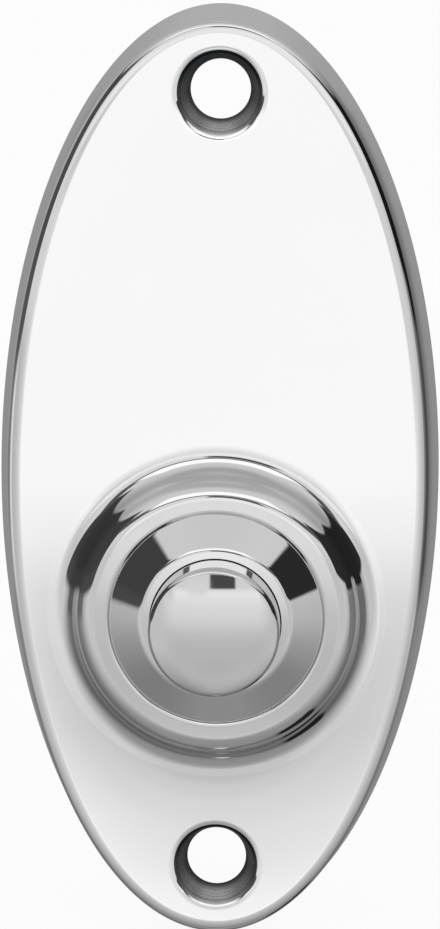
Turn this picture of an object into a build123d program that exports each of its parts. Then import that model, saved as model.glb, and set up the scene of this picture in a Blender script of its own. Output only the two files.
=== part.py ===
# Oval bell push: a hollow cast plate with a stepped round boss, a domed push button that slides
# in the boss, and a contact block behind it.
# Millimetres. X is to the right, Z is up, the front faces -Y and the wall is the plane Y = 0.
# The origin is the centre of the plate on the wall. Depths below are measured forwards from the wall.

import os

from build123d import *

# Oval plate
plate_width = 38.0
plate_height = 81.6
plate_depth = 5.5
rim_lean = 1.25            # how far the rim leans in from the wall to the front
front_edge_round = 1.35
front_wall = 2.4           # thickness of the plate's front
rim_wall = 2.4             # thickness of the rim on the wall
recess_lean = 0.4
recess_root_round = 0.8

# Wood screw holes
screw_pitch = 67.5
screw_hole_radius = 2.55
sink_radius = 3.8
sink_angle = 90
sink_edge_round = 0.25
screw_pad_radius = 5.4
screw_pad_thickness = 3.2

# Boss, with heights above the plate's front, and each step measured outwards from the one inside it
boss_drop = 11.2           # from the plate's centre down to the boss axis
lip_width = 0.75           # from the bore out to the cone
lip_height = 4.05          # where the cone meets the lip
lip_rise = 0.06            # from there to the bore
lip_outer_round = 1.2
lip_inner_round = 0.12
cone_reach = 2.63          # from the lip out to the groove
groove_width = 0.25
groove_depth = 0.18        # below the inner edge of the ring
groove_round = 0.1
ring_width = 2.17
ring_rise = 0.15           # from the shoulder to the inner edge of the ring
ring_edge_round = 0.45
shoulder_height = 2.4
shoulder_round = 2.1
wall_lean = 1.28           # from the shoulder out to the foot
foot_round = 2.3
flare_reach = 1.8          # from the foot out to the plate's front
flare_rise = 0.1
flare_round = 3.4
flare_land = 0.5           # flat margin round the flare
pocket_radius = 8.6
pocket_roof_round = 0.4

# Push button
button_radius = 5.6
button_clearance = 0.12
button_stand = 3.75        # from the lip to the edge of the domed face
dome_rise = 0.8
button_edge_round = 0.5
flange_radius = 7.2
flange_thickness = 0.85
stop_gap = 0.1             # between the flange and the roof of the pocket at rest
pip_radius = 1.4
pip_height = 0.25          # behind the flange

# Travel and contacts
press_travel = 1.5
closed_gap = 0.05          # left between the contact points when the button is fully in
strip_width = 4.0
fixed_strip_thickness = 0.4
spring_strip_thickness = 0.3
spring_bend_radius = 0.8
spring_bend_room = 0.6     # from the nut to the corner of the bend
spring_nose_length = 2.4
spring_ramp_top = 1.0      # from the boss axis to the top of the ramp
point_radius = 0.95
point_round = 0.2
fixed_point_height = 0.4
moving_point_height = 0.35
pip_gap = 0.05             # between the spring strip and the button's pip at rest

# Contact base
base_radius = 12.6
base_thickness = 1.6
base_edge_chamfer = 0.3
barrier_end_room = 1.3     # from each end of the barrier to the head of a base screw
barrier_width = 1.0
barrier_height = 1.1

# Small fasteners
screw_radius = 0.95
hole_clearance = 0.1       # round a screw in a plain hole
thread_clearance = 0.03    # round a screw in a tapped hole
slot_width = 0.5
slot_depth = 0.45
slot_turn = 45             # degrees from level
terminal_wall_room = 2.8   # from each terminal screw to the wall of the pocket
terminal_head_radius = 1.9
terminal_head_height = 1.0
washer_radius = 2.4
washer_thickness = 0.35
nut_width = 3.6
nut_height = 1.0
terminal_screw_tail = 0.15 # past the nut
base_screw_margin = 2.1    # from each base screw to the edge of the base
base_screw_head_radius = 1.7
base_screw_head_height = 1.1
base_screw_bite = 2.0      # length of thread in the casting
tapped_hole_spare = 0.3

# Depths from the wall
recess_depth = plate_depth - front_wall
flare_depth = plate_depth + flare_rise
shoulder_depth = plate_depth + shoulder_height
ring_depth = shoulder_depth + ring_rise
groove_bottom = ring_depth - groove_depth
lip_depth = plate_depth + lip_height
bore_depth = lip_depth + lip_rise
base_back = recess_depth - base_thickness
fixed_strip_top = recess_depth + fixed_strip_thickness
fixed_point_top = fixed_strip_top + fixed_point_height
moving_point_back = fixed_point_top + press_travel + closed_gap
spring_back = moving_point_back + moving_point_height
spring_front = spring_back + spring_strip_thickness
pip_back = spring_front + pip_gap
flange_back = pip_back + pip_height
flange_front = flange_back + flange_thickness
roof_depth = flange_front + stop_gap
button_edge_depth = lip_depth + button_stand

# Radii from the boss axis
bore_radius = button_radius + button_clearance
lip_radius = bore_radius + lip_width
groove_radius = lip_radius + cone_reach
ring_radius = groove_radius + groove_width
shoulder_radius = ring_radius + ring_width
foot_radius = shoulder_radius + wall_lean
flare_radius = foot_radius + flare_reach
land_radius = flare_radius + flare_land
terminal_reach = pocket_radius - terminal_wall_room
base_screw_reach = base_radius - base_screw_margin
barrier_reach = base_screw_reach - base_screw_head_radius - barrier_end_room
plain_hole_radius = screw_radius + hole_clearance
tapped_hole_radius = screw_radius + thread_clearance

# Planes: fronts look out of the wall, backs look into it, turned pieces share the boss axis
front_plane = Plane.XZ
boss_origin = (0, 0, -boss_drop)
turning_plane = Plane(origin=boss_origin, x_dir=(1, 0, 0), z_dir=(0, 0, -1))
turning_axis = Axis(boss_origin, (0, -1, 0))
boss_front_plane = Plane(origin=boss_origin, x_dir=(1, 0, 0), z_dir=(0, -1, 0))
boss_back_plane = Plane(origin=boss_origin, x_dir=(1, 0, 0), z_dir=(0, 1, 0))
boss_side_plane = Plane(origin=boss_origin, x_dir=(0, 0, 1), z_dir=(1, 0, 0))


def corner(sketch, radius, depth):
    """The corner of a turned section that lies at this radius and depth."""
    return sketch.vertices().sort_by_distance((radius, depth, 0))[0]


# Plate: one hollow casting with its boss
with BuildPart() as plate:
    with BuildSketch(front_plane):
        Ellipse(plate_width / 2, plate_height / 2)
    with BuildSketch(front_plane.offset(plate_depth)):
        Ellipse(plate_width / 2 - rim_lean, plate_height / 2 - rim_lean)
    loft(ruled=True)
    fillet(plate.faces().sort_by(Axis.Y)[0].edges(), front_edge_round)

    # Hollow back
    with BuildSketch(front_plane):
        Ellipse(plate_width / 2 - rim_wall, plate_height / 2 - rim_wall)
    with BuildSketch(front_plane.offset(recess_depth)):
        Ellipse(plate_width / 2 - rim_wall - recess_lean, plate_height / 2 - rim_wall - recess_lean)
    loft(ruled=True, mode=Mode.SUBTRACT)
    recess_floor = plate.faces().filter_by(Axis.Y).sort_by(Axis.Y)[-2]
    fillet(recess_floor.edges(), recess_root_round)

    # Pads behind the screw holes
    with BuildSketch(front_plane.offset(plate_depth - screw_pad_thickness)):
        with GridLocations(0, screw_pitch, 1, 2):
            Circle(screw_pad_radius)
    extrude(amount=screw_pad_thickness - front_wall / 2)

    # Way through for the button's mechanism
    with BuildSketch(boss_front_plane):
        Circle(pocket_radius)
    extrude(amount=shoulder_depth, mode=Mode.SUBTRACT)

    # Boss section: flare, foot, wall, shoulder ring, groove, cone and lip outside, bore and pocket inside
    with BuildSketch(turning_plane) as boss_section:
        with BuildLine():
            Polyline(
                (land_radius, recess_depth),
                (land_radius, plate_depth),
                (flare_radius, plate_depth),
                (foot_radius, flare_depth),
                (shoulder_radius, shoulder_depth),
                (ring_radius, ring_depth),
                (groove_radius, groove_bottom),
                (lip_radius, lip_depth),
                (bore_radius, bore_depth),
                (bore_radius, roof_depth),
                (pocket_radius, roof_depth),
                (pocket_radius, recess_depth),
                close=True,
            )
        make_face()
        for radius, depth, rounding in (
            (flare_radius, plate_depth, flare_round),
            (foot_radius, flare_depth, foot_round),
            (shoulder_radius, shoulder_depth, shoulder_round),
            (ring_radius, ring_depth, ring_edge_round),
            (groove_radius, groove_bottom, groove_round),
            (lip_radius, lip_depth, lip_outer_round),
            (bore_radius, bore_depth, lip_inner_round),
            (pocket_radius, roof_depth, pocket_roof_round),
        ):
            fillet(corner(boss_section, radius, depth), rounding)
    revolve(axis=turning_axis)

    # Countersunk screw holes
    with Locations(front_plane.offset(plate_depth)):
        with GridLocations(0, screw_pitch, 1, 2):
            CounterSinkHole(screw_hole_radius, sink_radius, counter_sink_angle=sink_angle)
    sink_edges = plate.edges().filter_by(GeomType.CIRCLE).filter_by(
        lambda edge: abs(edge.radius - sink_radius) < 0.01
    )
    fillet(sink_edges, sink_edge_round)

    # Tapped holes for the base screws
    with Locations(boss_back_plane.offset(-recess_depth)):
        with GridLocations(2 * base_screw_reach, 0, 2, 1):
            Hole(tapped_hole_radius, base_screw_bite + tapped_hole_spare)

# Push button: turned, with a flange that stops it in the pocket and a pip that works the spring strip
with BuildPart() as push_button:
    with BuildSketch(turning_plane) as button_section:
        with BuildLine():
            dome = TangentArc(
                (0, button_edge_depth + dome_rise),
                (button_radius, button_edge_depth),
                tangent=(1, 0),
            )
            Polyline(
                dome @ 1,
                (button_radius, flange_front),
                (flange_radius, flange_front),
                (flange_radius, flange_back),
                (pip_radius, flange_back),
                (pip_radius, pip_back),
                (0, pip_back),
                dome @ 0,
            )
        make_face()
        fillet(corner(button_section, button_radius, button_edge_depth), button_edge_round)
    revolve(axis=turning_axis)

# Contact base: insulating disc on the floor of the recess, with a barrier between the terminals
with BuildPart() as contact_base:
    with BuildSketch(boss_front_plane.offset(base_back)):
        Circle(base_radius)
    extrude(amount=base_thickness)
    chamfer(contact_base.edges().sort_by(Axis.Y)[-1], base_edge_chamfer)
    with BuildSketch(boss_back_plane.offset(-base_back)):
        SlotOverall(2 * barrier_reach, barrier_width)
    extrude(amount=barrier_height)
    with Locations(boss_front_plane.offset(recess_depth)):
        with GridLocations(2 * base_screw_reach, 0, 2, 1):
            Hole(plain_hole_radius)
        with GridLocations(0, 2 * terminal_reach, 1, 2):
            Hole(plain_hole_radius)

# Fixed contact: flat strip from the lower terminal to the boss axis
with BuildPart() as fixed_contact:
    with BuildSketch(boss_front_plane.offset(recess_depth)):
        with Locations((0, -terminal_reach / 2)):
            SlotCenterToCenter(terminal_reach, strip_width, rotation=90)
        with Locations((0, -terminal_reach)):
            Circle(plain_hole_radius, mode=Mode.SUBTRACT)
    extrude(amount=fixed_strip_thickness)

# Moving contact: strip bent up from the upper terminal to a nose below the button's pip
spring_foot_mid = recess_depth + spring_strip_thickness / 2
spring_nose_mid = spring_back + spring_strip_thickness / 2
spring_foot_end = terminal_reach + strip_width / 2
spring_ramp_foot = terminal_reach - nut_width / 2 - spring_bend_room
with BuildPart() as moving_contact:
    with BuildSketch(boss_side_plane):
        with BuildLine():
            FilletPolyline(
                (spring_foot_end, spring_foot_mid),
                (spring_ramp_foot, spring_foot_mid),
                (spring_ramp_top, spring_nose_mid),
                (-spring_nose_length, spring_nose_mid),
                radius=spring_bend_radius,
            )
        trace(line_width=spring_strip_thickness)
    extrude(amount=strip_width / 2, both=True)
    with BuildSketch(boss_front_plane):
        with Locations((0, (spring_foot_end - spring_nose_length) / 2)):
            SlotOverall(spring_foot_end + spring_nose_length, strip_width, rotation=90)
        with Locations((0, terminal_reach)):
            Circle(plain_hole_radius, mode=Mode.SUBTRACT)
    extrude(amount=spring_front, mode=Mode.INTERSECT)


def contact_point(back_depth, height, worn_face):
    """Round contact point from its back to its front, with its touching face softened."""
    with BuildPart() as point:
        with BuildSketch(boss_front_plane.offset(back_depth)):
            Circle(point_radius)
        extrude(amount=height)
        fillet(point.edges().group_by(Axis.Y)[worn_face], point_round)
    return point


fixed_contact_point = contact_point(fixed_strip_top, fixed_point_height, worn_face=0)
moving_contact_point = contact_point(moving_point_back, moving_point_height, worn_face=-1)


def slotted_screw(place, head_back, head_radius, head_height, shank_end):
    """Cheese head screw put in from behind: its head's back and its tip are depths from the wall."""
    with BuildPart() as screw:
        with BuildSketch(boss_front_plane.offset(head_back)):
            with Locations(place):
                Circle(head_radius)
        extrude(amount=head_height)
        with BuildSketch(boss_front_plane.offset(head_back)):
            with Locations(place):
                Rectangle(2 * head_radius + slot_width, slot_width, rotation=slot_turn)
        extrude(amount=slot_depth, mode=Mode.SUBTRACT)
        with BuildSketch(boss_front_plane.offset(head_back + head_height)):
            with Locations(place):
                Circle(screw_radius)
        extrude(amount=shank_end - head_back - head_height)
    return screw


# Terminals: screw and washer behind the base, strip and square nut in front of it
terminal_screws = {}
terminal_washers = {}
terminal_nuts = {}
for side, reach, strip_thickness in (
    ("upper", terminal_reach, spring_strip_thickness),
    ("lower", -terminal_reach, fixed_strip_thickness),
):
    washer_back = base_back - washer_thickness
    nut_back = recess_depth + strip_thickness
    terminal_screws[side] = slotted_screw(
        (0, reach),
        washer_back - terminal_head_height,
        terminal_head_radius,
        terminal_head_height,
        nut_back + nut_height + terminal_screw_tail,
    )
    with BuildPart() as washer:
        with BuildSketch(boss_front_plane.offset(washer_back)):
            with Locations((0, reach)):
                Circle(washer_radius)
                Circle(plain_hole_radius, mode=Mode.SUBTRACT)
        extrude(amount=washer_thickness)
    terminal_washers[side] = washer
    with BuildPart() as nut:
        with BuildSketch(boss_front_plane.offset(nut_back)):
            with Locations((0, reach)):
                Rectangle(nut_width, nut_width)
                Circle(tapped_hole_radius, mode=Mode.SUBTRACT)
        extrude(amount=nut_height)
    terminal_nuts[side] = nut

# Base screws: through the base into the casting, one each side
base_screws = {}
for side, reach in (("left", -base_screw_reach), ("right", base_screw_reach)):
    base_screws[side] = slotted_screw(
        (reach, 0),
        base_back - base_screw_head_height,
        base_screw_head_radius,
        base_screw_head_height,
        recess_depth + base_screw_bite,
    )

# Every piece goes to a file of its own
pieces = {
    "plate": plate,
    "push_button": push_button,
    "contact_base": contact_base,
    "fixed_contact": fixed_contact,
    "moving_contact": moving_contact,
    "fixed_contact_point": fixed_contact_point,
    "moving_contact_point": moving_contact_point,
}
for group, named in (
    ("terminal_screw", terminal_screws),
    ("terminal_washer", terminal_washers),
    ("terminal_nut", terminal_nuts),
    ("base_screw", base_screws),
):
    for side, piece in named.items():
        pieces[f"{group}_{side}"] = piece

os.makedirs("parts", exist_ok=True)
for name, piece in pieces.items():
    piece.part.label = name
    export_step(piece.part, f"parts/{name}.step")
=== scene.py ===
import bpy
import bmesh
import numpy as np
from mathutils import Matrix, Vector


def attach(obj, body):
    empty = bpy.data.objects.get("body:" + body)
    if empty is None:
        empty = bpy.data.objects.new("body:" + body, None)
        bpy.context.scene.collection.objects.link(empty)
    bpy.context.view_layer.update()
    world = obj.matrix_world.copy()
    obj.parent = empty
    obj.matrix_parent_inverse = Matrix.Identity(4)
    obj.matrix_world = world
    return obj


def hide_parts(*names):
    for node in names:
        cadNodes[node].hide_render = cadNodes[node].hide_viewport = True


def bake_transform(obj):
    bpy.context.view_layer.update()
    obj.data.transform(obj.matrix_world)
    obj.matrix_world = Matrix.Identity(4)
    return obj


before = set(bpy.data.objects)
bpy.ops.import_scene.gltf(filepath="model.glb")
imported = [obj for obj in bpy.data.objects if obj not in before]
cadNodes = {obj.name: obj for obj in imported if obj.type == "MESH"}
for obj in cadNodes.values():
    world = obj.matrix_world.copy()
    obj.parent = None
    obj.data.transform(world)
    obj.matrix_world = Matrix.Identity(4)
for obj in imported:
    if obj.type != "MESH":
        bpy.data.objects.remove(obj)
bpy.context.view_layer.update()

scene = bpy.context.scene
scene.view_settings.view_transform = "Standard"
mm = 0.001
turn = 2 * np.pi
mergeGap = 2e-7  # metres, nearer points are one
sliverGap = 1e-8


# mesh tools: every surface is a grid of rows and columns

def unit(vectors):
    return vectors / np.linalg.norm(vectors, axis=1)[:, None]


def roundedSection(corners, arcSteps, runShares=(0.04, 0.3, 0.7, 0.96), fineRun=None):
    # corners are (across, depth, round): each inner corner becomes an arc of its round, whose centre is on
    # the bisector at round / sin(half angle) and whose ends are round / tan(half angle) from the corner
    # fineRun is (which straight run, how many rows)
    c = np.array(corners, float)
    p, r = c[:, :2], c[1:-1, 2:3]
    corner = p[1:-1]
    a, b = unit(p[:-2] - corner), unit(p[2:] - corner)
    half = np.arccos(np.clip((a * b).sum(1), -1, 1))[:, None] / 2
    centre = corner + unit(a + b) * r / np.sin(half)
    first = corner + a * r / np.tan(half) - centre
    last = corner + b * r / np.tan(half) - centre
    begin = np.arctan2(first[:, 1], first[:, 0])[:, None]
    cross = first[:, 0] * last[:, 1] - first[:, 1] * last[:, 0]
    sweep = np.arctan2(cross, (first * last).sum(1))[:, None]
    at = begin + sweep * np.linspace(0, 1, arcSteps)
    arcs = centre[:, None] + r[:, None] * np.stack([np.cos(at), np.sin(at)], -1)
    starts = np.vstack([p[:1], arcs[:, -1]])
    ends = np.vstack([arcs[:, 0], p[-1:]])
    shares = [np.array(runShares)] * len(starts)
    if fineRun:
        shares[fineRun[0]] = np.linspace(0.01, 0.99, fineRun[1])
    runs = [start + (end - start) * share[:, None] for start, end, share in zip(starts, ends, shares)]
    joined = [part for pair in zip(runs, arcs) for part in pair]
    return np.vstack([p[:1], *joined, runs[-1], p[-1:]])


def turned(section, angles, centreZ):
    # section carried round an axis along Y: x = r sin(angle), y = -depth, z = centre + r cos(angle)
    r, d = section[:, :1], section[:, 1:]
    return np.stack([r * np.sin(angles), -d + 0 * angles, centreZ + r * np.cos(angles)], -1)


def atDepth(flat, depth):
    # points (x, z) of the front view carried to a depth: (x, -depth, z)
    x, z = flat[..., 0], flat[..., 1]
    return np.stack([x, 0 * x - depth, z], -1)


def gridFaces(rows, columns):
    # quads between neighbouring rows, each row closed on itself
    i = np.arange(rows - 1)[:, None] * columns
    j = np.arange(columns)
    nextI, nextJ = i + columns, (j + 1) % columns
    return np.stack([i + j, i + nextJ, nextI + nextJ, nextI + j], -1).reshape(-1, 4)


def addObject(name, data):
    obj = bpy.data.objects.new(name, data)
    scene.collection.objects.link(obj)
    return obj


def meshPiece(name, patches):
    # patches are (points, faces, finish of each face); shared loops are merged and faces turned outwards
    points, faces, finishes, base = [], [], [], 0
    for patchPoints, patchFaces, finish in patches:
        flat = patchPoints.reshape(-1, 3)
        points.append(flat * mm)
        faces.append(patchFaces + base)
        finishes.append(np.broadcast_to(finish, len(patchFaces)))
        base += len(flat)
    mesh = bpy.data.meshes.new(name)
    mesh.from_pydata(np.vstack(points).tolist(), [], np.vstack(faces).tolist())
    mesh.polygons.foreach_set("material_index", np.concatenate(finishes).astype(np.int32))
    work = bmesh.new()
    work.from_mesh(mesh)
    bmesh.ops.remove_doubles(work, verts=work.verts, dist=mergeGap)
    bmesh.ops.dissolve_degenerate(work, edges=work.edges, dist=sliverGap)
    bmesh.ops.recalc_face_normals(work, faces=work.faces)
    work.to_mesh(mesh)
    work.free()
    mesh.polygons.foreach_set("use_smooth", np.ones(len(mesh.polygons), bool))
    print(name, len(mesh.polygons), "faces")
    return addObject(name, mesh)


# node tools

def addNode(tree, kind, **settings):
    # settings are the node's own choices, or values of its sockets
    node = tree.nodes.new(kind)
    for key, value in settings.items():
        if hasattr(node, key):
            setattr(node, key, value)
        else:
            node.inputs[key].default_value = value
    return node


def grey(value):
    return (value, value, value)


def maths(tree, operation, first, second=None):
    node = addNode(tree, "ShaderNodeMath", operation=operation)
    for socket, value in zip(node.inputs, (first, second)):
        if value is None:
            continue
        if isinstance(value, (int, float)):
            socket.default_value = value
        else:
            tree.links.new(value, socket)
    return node.outputs[0]


def mapRange(tree, source, fromSpan=(0, 1), toSpan=(0, 1), smooth=False):
    node = addNode(tree, "ShaderNodeMapRange", interpolation_type="SMOOTHSTEP" if smooth else "LINEAR")
    for socket, value in zip(("From Min", "From Max", "To Min", "To Max"), (*fromSpan, *toSpan)):
        node.inputs[socket].default_value = value
    tree.links.new(source, node.inputs["Value"])
    return node.outputs["Result"]


def ramp(tree, source, *stops, ease=False):
    node = addNode(tree, "ShaderNodeValToRGB")
    node.color_ramp.interpolation = "EASE" if ease else "LINEAR"
    keys = node.color_ramp.elements
    while len(keys) < len(stops):
        keys.new(0.5)
    for key, (place, colour) in zip(keys, stops):
        key.position = place
        key.color = (*colour, 1)
    tree.links.new(source, node.inputs["Fac"])
    return node.outputs["Color"]


def blendGrey(tree, share, under, over):
    node = addNode(tree, "ShaderNodeMix", data_type="RGBA")
    tree.links.new(share, node.inputs["Factor"])
    for socket, value in ((node.inputs[6], under), (node.inputs[7], over)):
        if isinstance(value, (int, float)):
            socket.default_value = (*grey(value), 1)
        else:
            tree.links.new(value, socket)
    return node.outputs[2]


def mixShaders(tree, share, first, second):
    node = addNode(tree, "ShaderNodeMixShader")
    for socket, source in zip(node.inputs, (share, first, second)):
        tree.links.new(source, socket)
    return node.outputs[0]


# finishes

metalGrain = {"darkFrom": 0.3, "lightFrom": 0.7, "bumpHeight": 0.1}
chromeGrain = {"scale": 55, "dark": (-0.008, -0.006, -0.002), "light": (0.007, 0.009, 0.012)}
mouldedGrain = {"scale": 1600, "detail": 5.0, "bump": 0.12, "bumpHeight": 0.05}


def newFinish(name, sockets):
    finish = bpy.data.materials.new(name)
    finish.use_nodes = True
    shader = finish.node_tree.nodes["Principled BSDF"]
    for socket, value in sockets.items():
        shader.inputs[socket].default_value = value
    return finish, finish.node_tree, shader


def grain(tree, scale, detail=4.0, stretch=(1, 1, 1)):
    # noise on the piece's own coordinates, stretched for drawn metal
    where = addNode(tree, "ShaderNodeTexCoord")
    place = addNode(tree, "ShaderNodeMapping", Scale=stretch)
    noise = addNode(tree, "ShaderNodeTexNoise", Scale=scale, Detail=detail)
    tree.links.new(where.outputs["Object"], place.inputs["Vector"])
    tree.links.new(place.outputs["Vector"], noise.inputs["Vector"])
    return noise.outputs["Fac"]


def grainColour(tree, source, dark, light):
    return ramp(tree, source, (metalGrain["darkFrom"], dark), (metalGrain["lightFrom"], light))


def bumps(tree, shader, source, strength, height):
    # height in millimetres
    node = addNode(tree, "ShaderNodeBump", Strength=strength, Distance=height * mm)
    tree.links.new(source, node.inputs["Height"])
    tree.links.new(node.outputs["Normal"], shader.inputs["Normal"])


def metalFinish(name, dark, light, scale, rough, bump, stretch=(1, 1, 1)):
    # metal whose colour and polish drift between two values over its grain
    finish, tree, shader = newFinish(name, {"Metallic": 1.0})
    source = grain(tree, scale, stretch=stretch)
    tree.links.new(grainColour(tree, source, dark, light), shader.inputs["Base Color"])
    tree.links.new(mapRange(tree, source, toSpan=rough), shader.inputs["Roughness"])
    bumps(tree, shader, source, bump, metalGrain["bumpHeight"])
    return finish


def nearness(tree, centre, stops):
    # share by distance from a point (x, z) of the front view, or from one depth, in millimetres, eased
    if isinstance(centre, tuple):
        shift, kept = (-centre[0] * mm, 0, -centre[1] * mm), (1, 0, 1)
    else:
        shift, kept = (0, centre * mm, 0), (0, 1, 0)
    where = addNode(tree, "ShaderNodeTexCoord")
    place = addNode(tree, "ShaderNodeMapping", Location=shift)
    flat = addNode(tree, "ShaderNodeVectorMath", operation="MULTIPLY")
    flat.inputs[1].default_value = kept
    length = addNode(tree, "ShaderNodeVectorMath", operation="LENGTH")
    tree.links.new(where.outputs["Object"], place.inputs["Vector"])
    tree.links.new(place.outputs["Vector"], flat.inputs[0])
    tree.links.new(flat.outputs["Vector"], length.inputs[0])
    far = stops[-1][0]
    share = mapRange(tree, length.outputs["Value"], (0, far * mm))
    return ramp(tree, share, *[(away / far, grey(value)) for away, value in stops], ease=True)


def chromeGrey(tree, source, tone):
    # one tone, drifting a little to both sides over the grain
    dark = [tone + drift for drift in chromeGrain["dark"]]
    light = [tone + drift for drift in chromeGrain["light"]]
    return grainColour(tree, source, dark, light)


def chromeWithPaintedShading(name, tones, paintedShading, rough=(0.012, 0.03), metal=1.0, shine=0.5):
    # chrome of the first tone that goes over to another near each patch of painted light or shade, given as
    # (tone, centre, stops)
    finish, tree, shader = newFinish(name, {"Metallic": metal, "Specular IOR Level": shine})
    source = grain(tree, chromeGrain["scale"])
    greys = [chromeGrey(tree, source, tone) for tone in tones]
    colour = greys[0]
    for tone, centre, stops in paintedShading:
        colour = blendGrey(tree, nearness(tree, centre, stops), colour, greys[tone])
    tree.links.new(colour, shader.inputs["Base Color"])
    tree.links.new(mapRange(tree, source, toSpan=rough), shader.inputs["Roughness"])
    return finish


drawn = (1, 1, 0.1)  # grain along a strip
castInside = metalFinish("cast_inside", (0.42, 0.42, 0.43), (0.6, 0.6, 0.6), 1400, (0.38, 0.55), 0.25)
brassStrip = metalFinish(
    "brass_strip", (0.66, 0.46, 0.2), (0.8, 0.6, 0.3), 500, (0.2, 0.36), 0.03, drawn)
bronzeStrip = metalFinish(
    "bronze_strip", (0.6, 0.37, 0.19), (0.72, 0.48, 0.28), 500, (0.2, 0.34), 0.03, drawn)
silverPoint = metalFinish("silver_point", (0.72, 0.71, 0.69), (0.88, 0.87, 0.85), 900, (0.15, 0.3), 0.04)
brassScrew = metalFinish("brass_screw", (0.64, 0.45, 0.18), (0.79, 0.6, 0.3), 800, (0.22, 0.38), 0.05)
brassNut = metalFinish("brass_nut", (0.62, 0.43, 0.18), (0.76, 0.57, 0.28), 700, (0.24, 0.4), 0.05)
brassWasher = metalFinish("brass_washer", (0.66, 0.48, 0.22), (0.8, 0.62, 0.33), 700, (0.2, 0.36), 0.04)
steelScrew = metalFinish("steel_screw", (0.46, 0.47, 0.48), (0.64, 0.64, 0.65), 800, (0.24, 0.4), 0.05)

phenolic, phenolicTree, phenolicShader = newFinish("phenolic", {"Roughness": 0.42})
fleck = grain(phenolicTree, mouldedGrain["scale"], mouldedGrain["detail"])
fleckColour = ramp(
    phenolicTree, fleck,
    (0.35, (0.012, 0.009, 0.007)), (0.62, (0.03, 0.02, 0.014)), (0.75, (0.07, 0.05, 0.035)))
phenolicTree.links.new(fleckColour, phenolicShader.inputs["Base Color"])
bumps(phenolicTree, phenolicShader, fleck, mouldedGrain["bump"], mouldedGrain["bumpHeight"])
print("finishes ready")


# oval plate with its boss, all in millimetres, depth is forwards from the wall

ovalPlate = {
    "width": 38.0, "height": 81.6, "depth": 5.5, "rimLean": 1.0, "backRound": 0.15,
    "crownStart": 2.25, "crownInset": 1.83, "crownAngle": 8.0, "crownRound": 5.0, "edgeRound": 0.66,
    "rimWall": 2.4, "recessLean": 0.4, "recessDepth": 3.1, "rootRound": 0.8, "roofFlat": 0.1,
    "frontEnd": 0.002, "crownEnd": 0.08, "edgeEnd": 1.0,  # how far behind the front each finish reaches
    "wallTouch": 0.001, "arcRows": 12, "runRows": (0.04, 0.13, 0.3, 0.7, 0.96),
    "around": 320, "upperCut": 57, "lowerCut": 122, "cutPoints": 38,  # columns, and the cuts in three
}
screwHole = {
    "pitch": 67.5, "hole": 2.53, "mouth": 3.44, "mouthRound": 0.9, "mouthFlat": 0.76, "backRound": 0.08,
    "padRadius": 5.4, "padDepth": 2.3, "padRound": 0.3, "padFoot": 0.1, "padFlat": 0.4,
    "markPitch": 0.5, "markDepth": 0.026, "markStart": 0.1, "markFade": 0.3, "markRows": 40,
    "sinkStart": 0.1, "glintDrop": 3.45, "arcRows": 10,
}
boss = {
    "drop": 11.2, "land": 15.1, "flare": 14.6, "flareRound": 3.4, "flareRise": 0.1,
    "foot": 12.8, "footRound": 2.3, "shoulder": 11.52, "shoulderHeight": 2.4, "shoulderRound": 2.1,
    "ring": 9.34, "ringRise": 0.15, "ringRound": 0.75,
    "groove": 9.12, "grooveDepth": 0.18, "grooveRound": 0.03,
    "lip": 6.47, "lipHeight": 4.05, "lipRise": 0.12, "lipRound": 1.2,
    "bore": 5.65, "boreRound": 0.04, "boreFoot": 0.1, "chromeInside": 1.0,
    "pocket": 8.6, "roof": 7.35, "roofRound": 0.4, "pocketRound": 0.12, "pocketFlat": 0.5,
    "arcRows": 12, "runRows": (0.05, 0.5, 0.95),
}

# painted shade round the boss: the boss and the plate near its foot take darker chrome tones
platePaintedShade = (
    (1, (0, -16.0), ((0, 1), (9.8, 1), (11.0, 0.5), (12.6, 0.2), (15.5, 0))),  # painted shade, soft below the boss
    (1, (0, -10.4), ((0, 1), (13.3, 1), (14.0, 0))),  # sharp above it
    (2, (0, -11.2), ((0, 0), (11.5, 0), (12.2, 1), (12.6, 1), (13.2, 0))),  # painted shade at the root of its wall
    (1, (0, -8.0), ((0, 1), (8.6, 1), (10.8, 0))),  # but not at the top
)
# painted shade on the rim sides, darkest just behind the front
rimPaintedShade = (
    (1, ovalPlate["depth"], (
        (0, 1), (1.0, 1), (1.5, 0.62), (2.0, 0.33), (2.7, 0.1), (3.4, 0))),  # painted shade, dark behind the front edge
    (0, (-21, 4.0), ((0, 0.85), (20, 0.85), (34, 0))),  # less on the left
    (0, (0, 44), ((0, 1), (13.5, 1), (17.5, 0))),  # none at the top
    (0, (0, -44), ((0, 1), (18, 1), (40, 0))),  # and little at the bottom
)
# painted light and shade in the screw-hole funnels: near-black chrome for the shade inside, lighter low down
# where light falls in
sinkPaintedShading = []
for holeZ in (screwHole["pitch"] / 2, -screwHole["pitch"] / 2):
    glintZ = holeZ - screwHole["glintDrop"]
    sinkPaintedShading += [
        (1, (0, glintZ), ((0, 1), (0.6, 1), (2.2, 0.5), (4.6, 0.14), (6.2, 0))),  # painted light, brighter low down
        (0, (0, holeZ), ((0, 1), (2.55, 1), (3.0, 0))),  # painted shade, dark towards the wall
    ]
# painted light and shade along the side edges
edgePaintedShading = (
    (1, (21, 14.0), ((0, 1), (21, 1), (27, 0))),  # painted shade, dark line along the right edge
    (2, (-21, 14.0), ((0, 1), (20, 1), (28, 0))),  # painted light, lighter along the left
)
# painted light and shade on the crown round the front face
crownPaintedShading = (
    (2, ovalPlate["depth"], (
        (0, 0), (0.003, 0.25), (0.0125, 0.5), (0.028, 0.8), (0.05, 1), (0.08, 1))),  # painted shade, darker to the edge
    (3, (-17, 24), ((0, 1), (7, 1), (14, 0))),  # even on the upper left
    (1, (19, 19), ((0, 1), (7, 1), (14, 0))),  # painted shade on the right
    (1, (0, 40), ((0, 1), (15, 1), (22, 0))),  # and at the top
)
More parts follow.
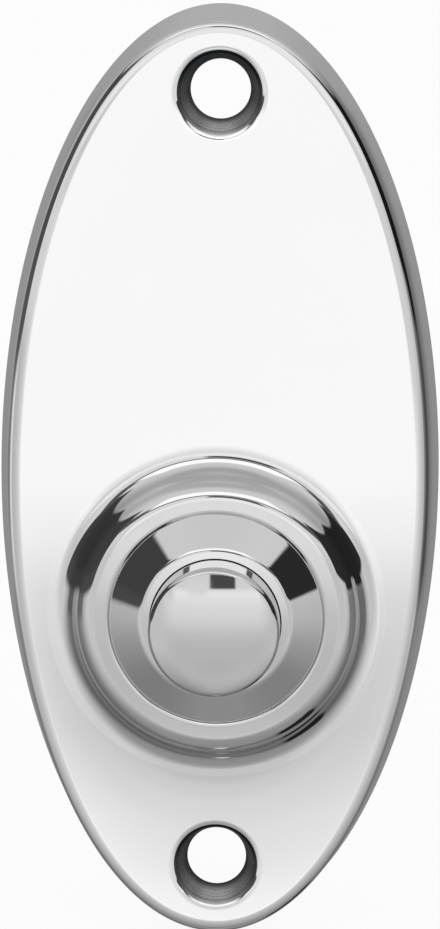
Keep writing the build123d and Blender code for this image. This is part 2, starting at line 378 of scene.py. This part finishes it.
# one chrome in lit and shaded copies: painted brighter on the flat front, darker on rim, boss and holes
plateFinishes = {
    "front": chromeWithPaintedShading("chrome_plate", (0.93, 0.7, 0.5), platePaintedShade),
    "inside": castInside,
    "sink": chromeWithPaintedShading("chrome_sink", (0.01, 0.55), sinkPaintedShading, (0.22, 0.32), metal=0.45, shine=0.04),
    "rim": chromeWithPaintedShading("chrome_rim", (0.745, 0.2), rimPaintedShade),
    "crown": chromeWithPaintedShading("chrome_crown", (0.93, 0.69, 0.6, 0.83), crownPaintedShading),
    "edge": chromeWithPaintedShading("chrome_edge", (0.745, 0.25, 0.97), edgePaintedShading),
}
finishPlace = {name: place for place, name in enumerate(plateFinishes)}


def ovalLoop(inset):
    # ellipse by its parameter t, clockwise from the top: x = (w/2 - inset) sin t, z = (h/2 - inset) cos t
    p = ovalPlate
    t = np.arange(p["around"]) * turn / p["around"]
    return np.stack([(p["width"] / 2 - inset) * np.sin(t), (p["height"] / 2 - inset) * np.cos(t)], -1)


def threeLoops(inset):
    # the oval cut by two level lines into closed loops round the upper hole, the boss and the lower hole
    oval = ovalLoop(inset)
    up, low, n = ovalPlate["upperCut"], ovalPlate["lowerCut"], ovalPlate["around"]
    share = np.linspace(0, 1, ovalPlate["cutPoints"] + 2)[1:-1, None]
    upperLine = oval[up] + (oval[n - up] - oval[up]) * share
    lowerLine = oval[low] + (oval[n - low] - oval[low]) * share
    upper = np.vstack([oval[n - up:], oval[:up + 1], upperLine])
    middle = np.vstack([oval[up:low + 1], lowerLine, oval[n - low:n - up + 1], upperLine[::-1]])
    lower = np.vstack([oval[low:n - low + 1], lowerLine[::-1]])
    return upper, middle, lower


def flatPatch(inner, outer, depth, steps=6):
    # level face between two loops of equal count: point = inner + (outer - inner) * share
    share = np.linspace(0, 1, steps)[:, None, None]
    return atDepth(inner + (outer - inner) * share, depth), gridFaces(steps, len(inner))


def rimSection():
    # from the front over crown and edge, down the leaning rim to the wall and up inside the hollow
    # the crown falls at its angle until it meets the rim
    p, at = ovalPlate, finishPlace
    d, back = p["depth"], p["recessDepth"]
    fall = np.radians(p["crownAngle"])
    crownRun = (p["crownInset"] - p["rimLean"]) / (np.cos(fall) - np.sin(fall) * p["rimLean"] / d)
    edgeInset, edgeDepth = p["crownInset"] - crownRun * np.cos(fall), d - crownRun * np.sin(fall)
    rootInset = p["rimWall"] + p["recessLean"]
    rim = roundedSection([
        (p["crownStart"], d, 0), (p["crownInset"], d, p["crownRound"]),
        (edgeInset, edgeDepth, p["edgeRound"]), (0, 0, p["backRound"]), (p["rimWall"], 0, p["backRound"]),
        (rootInset, back, p["rootRound"]), (rootInset + p["rootRound"] + p["roofFlat"], back, 0),
    ], p["arcRows"], p["runRows"])
    level = rim[:-1, 1]
    hollow = np.arange(len(level)) > np.argmax(rim[:, 1] < p["wallTouch"])
    finish = np.select(
        [hollow, level > d - p["frontEnd"], level > d - p["crownEnd"], level > d - p["edgeEnd"]],
        [at["inside"], at["front"], at["crown"], at["edge"]], at["rim"])
    return rim, finish


def bossSection():
    # from the plate up the flared wall, over ring, groove, cone and lip, down the bore and into the pocket
    b, at = boss, finishPlace
    d, back = ovalPlate["depth"], ovalPlate["recessDepth"]
    ringTop = d + b["shoulderHeight"] + b["ringRise"]
    lipTop = d + b["lipHeight"]
    section = roundedSection([
        (b["land"], d, 0), (b["flare"], d, b["flareRound"]), (b["foot"], d + b["flareRise"], b["footRound"]),
        (b["shoulder"], d + b["shoulderHeight"], b["shoulderRound"]), (b["ring"], ringTop, b["ringRound"]),
        (b["groove"], ringTop - b["grooveDepth"], b["grooveRound"]), (b["lip"], lipTop, b["lipRound"]),
        (b["bore"], lipTop + b["lipRise"], b["boreRound"]), (b["bore"], b["roof"], b["boreFoot"]),
        (b["pocket"], b["roof"], b["roofRound"]), (b["pocket"], back, b["pocketRound"]),
        (b["pocket"] + b["pocketFlat"], back, 0),
    ], b["arcRows"], b["runRows"])
    chromeEnd = np.abs(section - (b["bore"], lipTop - b["chromeInside"])).sum(1).argmin()
    return section, np.where(np.arange(len(section) - 1) > chromeEnd, at["inside"], at["front"])


def holeSection():
    # rolled mouth, funnel with tool marks, narrow end, and the round pad behind it
    h, at = screwHole, finishPlace
    d, back = ovalPlate["depth"], ovalPlate["recessDepth"]
    hole = roundedSection([
        (h["mouth"] + h["mouthRound"] * h["mouthFlat"], d, 0), (h["mouth"], d, h["mouthRound"]),
        (h["hole"], h["padDepth"], h["backRound"]), (h["padRadius"], h["padDepth"], h["padRound"]),
        (h["padRadius"], back, h["padFoot"]), (h["padRadius"] + h["padFlat"], back, 0),
    ], h["arcRows"], fineRun=(1, h["markRows"]))
    belowMouth = ((h["mouth"] - hole[:, 0]) / h["markFade"]).clip(0, 1)
    aboveEnd = ((hole[:, 1] - h["padDepth"] - h["markStart"]) / h["markFade"]).clip(0, 1)
    hole[:, 0] += belowMouth * aboveEnd * h["markDepth"] * np.sin(turn * hole[:, 1] / h["markPitch"])
    behind = np.arange(len(hole) - 1) > np.argmin(hole[:, 0])
    deep = hole[:-1, 1] < d - h["sinkStart"]
    return hole, np.select([behind, deep], [at["inside"], at["sink"]], at["front"])


def platePatches():
    n, d, back = ovalPlate["around"], ovalPlate["depth"], ovalPlate["recessDepth"]
    rim, rimFinish = rimSection()
    hole, bossWall = holeSection(), bossSection()
    rimPoints = atDepth(ovalLoop(rim[:, :1]), rim[:, 1:])
    patches = [(rimPoints, gridFaces(len(rim), n), np.repeat(rimFinish, n))]
    centres = (screwHole["pitch"] / 2, -boss["drop"], -screwHole["pitch"] / 2)
    fronts, roofs = threeLoops(rim[0, 0]), threeLoops(rim[-1, 0])
    for centre, front, roof, (section, finish) in zip(centres, fronts, roofs, (hole, bossWall, hole)):
        angles = np.arctan2(front[:, 0], front[:, 1] - centre)
        points = turned(section, angles, centre)
        patches.append((points, gridFaces(len(section), len(angles)), np.repeat(finish, len(angles))))
        patches.append((*flatPatch(points[0][:, [0, 2]], front, d), finishPlace["front"]))
        patches.append((*flatPatch(points[-1][:, [0, 2]], roof, back), finishPlace["inside"]))
    return patches


plate = meshPiece("oval_plate", platePatches())
for finish in plateFinishes.values():
    plate.data.materials.append(finish)
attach(plate, "housing")
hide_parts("plate")


# push button: sphere cap, rounded edge, straight side, stop flange and pip

pushButton = {
    "radius": 5.6, "edgeDepth": 13.3, "domeRise": 0.8, "edgeRound": 0.5, "sideFoot": 0.1,
    "flangeRadius": 7.2, "flangeFront": 7.25, "flangeBack": 6.4, "flangeRound": 0.12,
    "pipRadius": 1.4, "pipBack": 6.15, "pipFoot": 0.06, "pipRound": 0.1,
    "around": 320, "capRows": 60, "edgeRows": 18, "arcRows": 6,
}
# painted shade on the button: its chrome is toned darker than the plate's
buttonPaintedShade = ((1, (0, -18.0), ((0, 1), (2.4, 1), (5.6, 0))),)  # painted shade, darker at its lower end
chromeButton = chromeWithPaintedShading("chrome_button", (0.675, 0.575), buttonPaintedShade, (0.015, 0.035))


def buttonSection():
    # cap of radius R = (r^2 + rise^2) / (2 rise), with an edge arc inside it at R - edge from its centre
    b = pushButton
    capRadius = (b["radius"] ** 2 + b["domeRise"] ** 2) / (2 * b["domeRise"])
    capCentre = b["edgeDepth"] + b["domeRise"] - capRadius
    edgeAcross = b["radius"] - b["edgeRound"]
    edgeDepth = capCentre + np.sqrt((capRadius - b["edgeRound"]) ** 2 - edgeAcross ** 2)
    meet = np.arctan2(edgeAcross, edgeDepth - capCentre)
    cap = np.linspace(0, meet, b["capRows"])
    edge = np.linspace(meet, np.pi / 2, b["edgeRows"])[1:]
    capPoints = np.stack([capRadius * np.sin(cap), capCentre + capRadius * np.cos(cap)], -1)
    edgePoints = np.stack([
        edgeAcross + b["edgeRound"] * np.sin(edge), edgeDepth + b["edgeRound"] * np.cos(edge)], -1)
    body = roundedSection([
        (b["radius"], edgeDepth, 0), (b["radius"], b["flangeFront"], b["sideFoot"]),
        (b["flangeRadius"], b["flangeFront"], b["flangeRound"]),
        (b["flangeRadius"], b["flangeBack"], b["flangeRound"]),
        (b["pipRadius"], b["flangeBack"], b["pipFoot"]), (b["pipRadius"], b["pipBack"], b["pipRound"]),
        (0, b["pipBack"], 0),
    ], b["arcRows"])
    return np.vstack([capPoints, edgePoints, body[1:]])


buttonAngles = np.linspace(0, turn, pushButton["around"], endpoint=False)
buttonGrid = turned(buttonSection(), buttonAngles, -boss["drop"])
button = meshPiece("domed_button", [(buttonGrid, gridFaces(*buttonGrid.shape[:2]), 0)])
button.data.materials.append(chromeButton)
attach(button, "button")
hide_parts("push_button")


# springy contact strip: a bent path with a flat section, rounded in plan at both ends

springStrip = {
    "footEnd": 7.8, "rampFoot": 3.4, "rampTop": 1.0, "noseEnd": -2.4, "footMid": 3.25, "noseMid": 5.95,
    "bend": 0.8, "halfWidth": 2.0, "thickness": 0.3, "edge": 0.06, "flexStart": 3.7, "flexEnd": 0.7,
    "arcRows": 12, "runRows": 14,
}


def stripPoints():
    # eight corners carried along the path; half width w(z) = sqrt(r^2 - (z past the end's centre)^2)
    s = springStrip
    runShares = 1 - np.cos(np.linspace(0, np.pi / 2, s["runRows"])[1:-1])
    path = roundedSection([
        (s["footEnd"], s["footMid"], 0), (s["rampFoot"], s["footMid"], s["bend"]),
        (s["rampTop"], s["noseMid"], s["bend"]), (s["noseEnd"], s["noseMid"], 0),
    ], s["arcRows"], runShares)
    along = unit(np.gradient(path, axis=0))
    across = np.stack([-along[:, 1], along[:, 0]], -1)
    pastFoot = path[:, 0] - (s["footEnd"] - s["halfWidth"])
    pastNose = s["noseEnd"] + s["halfWidth"] - path[:, 0]
    past = np.maximum(pastFoot, pastNose).clip(0)
    half = np.sqrt((s["halfWidth"] ** 2 - past ** 2).clip(0))[:, None]
    e, t = s["edge"], s["thickness"] / 2
    side = np.array([-1, -1, -1, -1, 1, 1, 1, 1])
    lift = np.array([-t, -t + e, t - e, t, t, t - e, -t + e, -t])
    inset = np.array([e, 0, 0, e, e, 0, 0, e])
    x = side * (half - inset).clip(0)
    z = path[:, :1] + across[:, :1] * lift - boss["drop"]
    depth = path[:, 1:] + across[:, 1:] * lift
    return np.stack([x, -depth, z], -1)


stripGrid = stripPoints()
strip = meshPiece("spring_strip", [(stripGrid, gridFaces(*stripGrid.shape[:2]), 0)])
strip.data.materials.append(bronzeStrip)
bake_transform(strip)
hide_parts("moving_contact")


# contact block pieces keep their own shapes

nodeFinish = {
    "contact_base": phenolic, "fixed_contact": brassStrip,
    "fixed_contact_point": silverPoint, "moving_contact_point": silverPoint,
    "terminal_screw_upper": brassScrew, "terminal_screw_lower": brassScrew,
    "terminal_washer_upper": brassWasher, "terminal_washer_lower": brassWasher,
    "terminal_nut_upper": brassNut, "terminal_nut_lower": brassNut,
    "base_screw_left": steelScrew, "base_screw_right": steelScrew,
}
for name, finish in nodeFinish.items():
    for holder in cadNodes[name].material_slots:
        holder.material = finish
print("contact block finished")


# studio: pale floor, near screen in front of the plate, far surroundings by direction, all in metres

studio = {
    "floorHeight": -0.0409, "floorSize": 3.0, "floorGrey": 0.9, "floorGlow": 0.9,
    "skyFill": 0.85, "skySeen": 1.0,
}
nearScreen = {
    "front": -0.05, "halfWidth": 0.026, "middle": -0.018, "top": -0.002, "low": -0.056, "soft": 0.007,
    "fade": (0.4, 1.0),
    "greys": (
        (-56, 0.92), (-50, 0.87), (-46.5, 0.8), (-41.7, 0.775), (-39.8, 0.752), (-37, 0.715), (-33, 0.675),
        (-26, 0.67), (-20, 0.74), (-15, 0.9), (-9, 1.0), (-2, 1.0)),  # millimetres up, grey
}


def panel(name, points, faces, finish):
    mesh = bpy.data.meshes.new(name)
    mesh.from_pydata(points, [], faces)
    mesh.materials.append(finish)
    obj = addObject(name, mesh)
    return obj


def emptyFinish(name):
    # finish with no shader yet, its tree and the socket for its surface
    finish = bpy.data.materials.new(name)
    finish.use_nodes = True
    tree = finish.node_tree
    tree.nodes.clear()
    return finish, tree, addNode(tree, "ShaderNodeOutputMaterial").inputs["Surface"]


def axes(tree, direction=False):
    # X, Y and Z of a point on the panel, or of its direction from the middle
    where = addNode(tree, "ShaderNodeTexCoord").outputs["Object"]
    if direction:
        node = addNode(tree, "ShaderNodeVectorMath", operation="NORMALIZE")
        tree.links.new(where, node.inputs[0])
        where = node.outputs["Vector"]
    split = addNode(tree, "ShaderNodeSeparateXYZ")
    tree.links.new(where, split.inputs[0])
    return split.outputs


def seenRays(tree):
    # 1 for the rays that show the background: camera, glossy and transmission
    path = addNode(tree, "ShaderNodeLightPath")
    shown = maths(tree, "ADD", path.outputs["Is Camera Ray"], path.outputs["Is Glossy Ray"])
    return maths(tree, "ADD", shown, path.outputs["Is Transmission Ray"])


def paleFloor():
    finish, tree, surface = emptyFinish("pale_floor")
    matt = addNode(tree, "ShaderNodeBsdfDiffuse", Color=(*grey(studio["floorGrey"]), 1))
    glow = addNode(tree, "ShaderNodeEmission", Color=(1, 1, 1, 1), Strength=1.0)
    glowing = maths(tree, "MULTIPLY", seenRays(tree), studio["floorGlow"])  # the rest keeps the shadow
    tree.links.new(mixShaders(tree, glowing, matt.outputs[0], glow.outputs[0]), surface)
    half, level = studio["floorSize"] / 2, studio["floorHeight"]
    corners = [(-half, -half, level), (half, -half, level), (half, half, level), (-half, half, level)]
    return panel("pale_floor", corners, [(0, 1, 2, 3)], finish)


def ovalScreen():
    # glows inside (x / half width)^2 + (below the middle / its drop)^2 = 1, clear outside and above the top
    n = nearScreen
    finish, tree, surface = emptyFinish("near_screen")
    point = axes(tree)
    tall = n["top"] - n["low"]
    stops = [((up * mm - n["low"]) / tall, grey(value)) for up, value in n["greys"]]
    colour = ramp(tree, mapRange(tree, point["Z"], (n["low"], n["top"])), *stops)
    across = maths(tree, "DIVIDE", point["X"], n["halfWidth"])
    drop = maths(tree, "DIVIDE", maths(tree, "SUBTRACT", point["Z"], n["middle"]), n["low"] - n["middle"])
    below = maths(tree, "MAXIMUM", drop, 0.0)
    reach = maths(tree, "ADD", maths(tree, "POWER", across, 2.0), maths(tree, "POWER", below, 2.0))
    outside = mapRange(tree, reach, n["fade"], smooth=True)
    above = mapRange(tree, point["Z"], (n["top"] - n["soft"], n["top"]), smooth=True)
    glow = addNode(tree, "ShaderNodeEmission", Strength=1.0)
    clear = addNode(tree, "ShaderNodeBsdfTransparent")
    tree.links.new(colour, glow.inputs["Color"])
    off = maths(tree, "MAXIMUM", outside, above)
    tree.links.new(mixShaders(tree, off, glow.outputs[0], clear.outputs[0]), surface)
    wide, front, low, top = n["halfWidth"], n["front"], n["low"], n["top"]
    corners = [(-wide, front, low), (wide, front, low), (wide, front, top), (-wide, front, top)]
    return panel("near_screen", corners, [(0, 1, 2, 3)], finish)


floor = paleFloor()
floor.visible_glossy = False
screen = ovalScreen()

world = bpy.data.worlds.new("studio")
scene.world = world
world.use_nodes = True
sky = world.node_tree
sky.nodes.clear()
skyLight = addNode(sky, "ShaderNodeBackground", Strength=1.0)
skyOut = addNode(sky, "ShaderNodeOutputWorld")
sky.links.new(blendGrey(sky, seenRays(sky), studio["skyFill"], studio["skySeen"]), skyLight.inputs["Color"])
sky.links.new(skyLight.outputs[0], skyOut.inputs["Surface"])
world.cycles.sampling_method = "NONE"

# light tent: a pale sphere that only reflections see, with grey and dark cards hung in it
# each card is (middle round, half width, middle height, half height, soft edge, grey)
# in degrees, and 0 round is the front

lightTent = {"radius": 4.0, "rows": 65, "columns": 128, "frontHalf": 66, "frontSoft": 64}
tentCards = {
    "leftUnder": (-122, 26, -10, 14, 10, 0.27),
    "rightUnder": (100, 29, -12, 12, 7, 0.26),
    "leftSoft": (-26, 18, -8, 14, 16, 0.76),
    "rightSoft": (33, 16, -8, 14, 14, 0.73),
    "leftDarkFoot": (-103, 27, -8, 6, 6, 0.2),
    "leftDark": (-84, 42, 15.6, 18.8, 3, 0.065),
    "leftDarkFade": (-84, 40, 0, 4, 6, 0.085),
    "rightDarkNear": (58, 15, 16.5, 13.5, 2.5, 0.03),
    "rightDarkFar": (95, 24, 15, 15, 2.5, 0.03),
    "lowRightDark": (96, 31, -61.5, 8, 3, 0.02),
    "lampBelow": (0, 181, -90, 2.2, 1.5, 1.4),
    "frontPale": (-1.8, 5, -10, 12, 3, 1.0),
    "frontGlow": (0, 22, 4, 5, 4, 1.14),
    "frontWhite": (-2, 25, 29, 8, 4, 1.38),
    "darkLine": (0, 46, 20.2, 1.7, 0.8, 0.15),
    "darkLineLeft": (-37, 10, 21.5, 4.5, 3, 0.12),
    "darkLineRight": (37, 10, 21.5, 4.5, 3, 0.12),
    "cameraFace": (2.5, 6.5, 13.5, 3.7, 1.5, 0.09),
    "besideCamera": (-10, 5, 10, 3.5, 7, 0.95),
}
tentFront = (
    (-90, 0.33), (-78, 0.353), (-60, 0.372), (-48, 0.386), (-42, 0.436), (-36, 0.522), (-30, 0.603),
    (-24, 0.674), (-18, 0.79), (-12, 0.88), (10, 0.92), (46, 0.82), (54, 0.79), (62, 0.6), (69, 0.54),
    (80, 0.57), (90, 0.66),
)  # degrees up, grey
tentBack = (
    (-90, 0.33), (-84, 0.21), (-60, 0.2), (-42, 0.21), (-30, 0.23), (-18, 0.27), (0, 0.36), (12, 0.42),
    (24, 0.52), (36, 0.52), (48, 0.56), (60, 0.56), (72, 0.56), (84, 0.62), (90, 0.66),
)


def within(tree, angle, middle, half, soft):
    # 1 inside middle +- half, falling to 0 over the soft edge, all in degrees
    away = maths(tree, "ABSOLUTE", maths(tree, "SUBTRACT", angle, float(np.radians(middle))))
    edge = np.radians([half - soft / 2, half + soft / 2]).tolist()
    return mapRange(tree, away, edge, (1, 0), smooth=True)


def tentGrey(tree):
    direction = axes(tree, direction=True)
    around = maths(tree, "ARCTAN2", direction["X"], maths(tree, "MULTIPLY", direction["Y"], -1.0))
    height = maths(tree, "ARCSINE", direction["Z"])
    level = maths(tree, "ADD", maths(tree, "MULTIPLY", height, 1 / np.pi), 0.5)
    front, back = [
        ramp(tree, level, *[(up / 180 + 0.5, grey(value)) for up, value in stops])
        for stops in (tentFront, tentBack)]
    facing = within(tree, around, 0, lightTent["frontHalf"], lightTent["frontSoft"])
    colour = blendGrey(tree, facing, back, front)
    for aroundMid, aroundHalf, heightMid, heightHalf, soft, value in tentCards.values():
        sideways = within(tree, around, aroundMid, aroundHalf, soft)
        upright = within(tree, height, heightMid, heightHalf, soft)
        colour = blendGrey(tree, maths(tree, "MULTIPLY", sideways, upright), colour, value)
    return colour


def tentSphere():
    # x = R cos(up) sin(round), y = -R cos(up) cos(round), z = R sin(up)
    finish, tree, surface = emptyFinish("light_tent")
    glow = addNode(tree, "ShaderNodeEmission", Strength=1.0)
    tree.links.new(tentGrey(tree), glow.inputs["Color"])
    tree.links.new(glow.outputs[0], surface)
    up = np.linspace(-np.pi / 2, np.pi / 2, lightTent["rows"])[:, None]
    at = np.linspace(0, turn, lightTent["columns"], endpoint=False)
    points = lightTent["radius"] * np.stack([
        np.cos(up) * np.sin(at), -np.cos(up) * np.cos(at), np.sin(up) + 0 * at], -1)
    return panel("light_tent", points.reshape(-1, 3).tolist(), gridFaces(*points.shape[:2]).tolist(), finish)


tent = tentSphere()
for shy in (tent, screen):
    shy.visible_camera = shy.visible_diffuse = shy.visible_shadow = shy.visible_transmission = False
    shy.data.materials[0].cycles.emission_sampling = "NONE"
print("studio ready")


# camera: measured from the oval, the holes and the boss in the photograph

photoView = {
    "around": 1.94, "height": 11.52, "roll": 0.31, "distance": 0.42,  # degrees, metres
    "lens": 187.58, "sensor": 36.0, "right": -0.26, "down": 7.9, "tall": 929,  # shifts and height in pixels
    "near": 0.01, "far": 20.0,
}
side, rise, lean = np.radians([photoView["around"], photoView["height"], photoView["roll"]])
viewBack = Vector((np.sin(side) * np.cos(rise), -np.cos(side) * np.cos(rise), np.sin(rise)))
levelRight = Vector((0, 0, 1)).cross(viewBack).normalized()
levelTop = viewBack.cross(levelRight)
viewRight = levelRight * np.cos(lean) + levelTop * np.sin(lean)
viewTop = levelTop * np.cos(lean) - levelRight * np.sin(lean)
viewRows = [(r, t, b, b * photoView["distance"]) for r, t, b in zip(viewRight, viewTop, viewBack)]
lens = bpy.data.cameras.new("photo_view")
lens.lens, lens.sensor_width = photoView["lens"], photoView["sensor"]
lens.shift_x, lens.shift_y = -photoView["right"] / photoView["tall"], photoView["down"] / photoView["tall"]
lens.clip_start, lens.clip_end = photoView["near"], photoView["far"]
camera = addObject("photo_view", lens)
camera.matrix_world = Matrix((*viewRows, (0, 0, 0, 1)))
scene.camera = camera
print("camera ready")
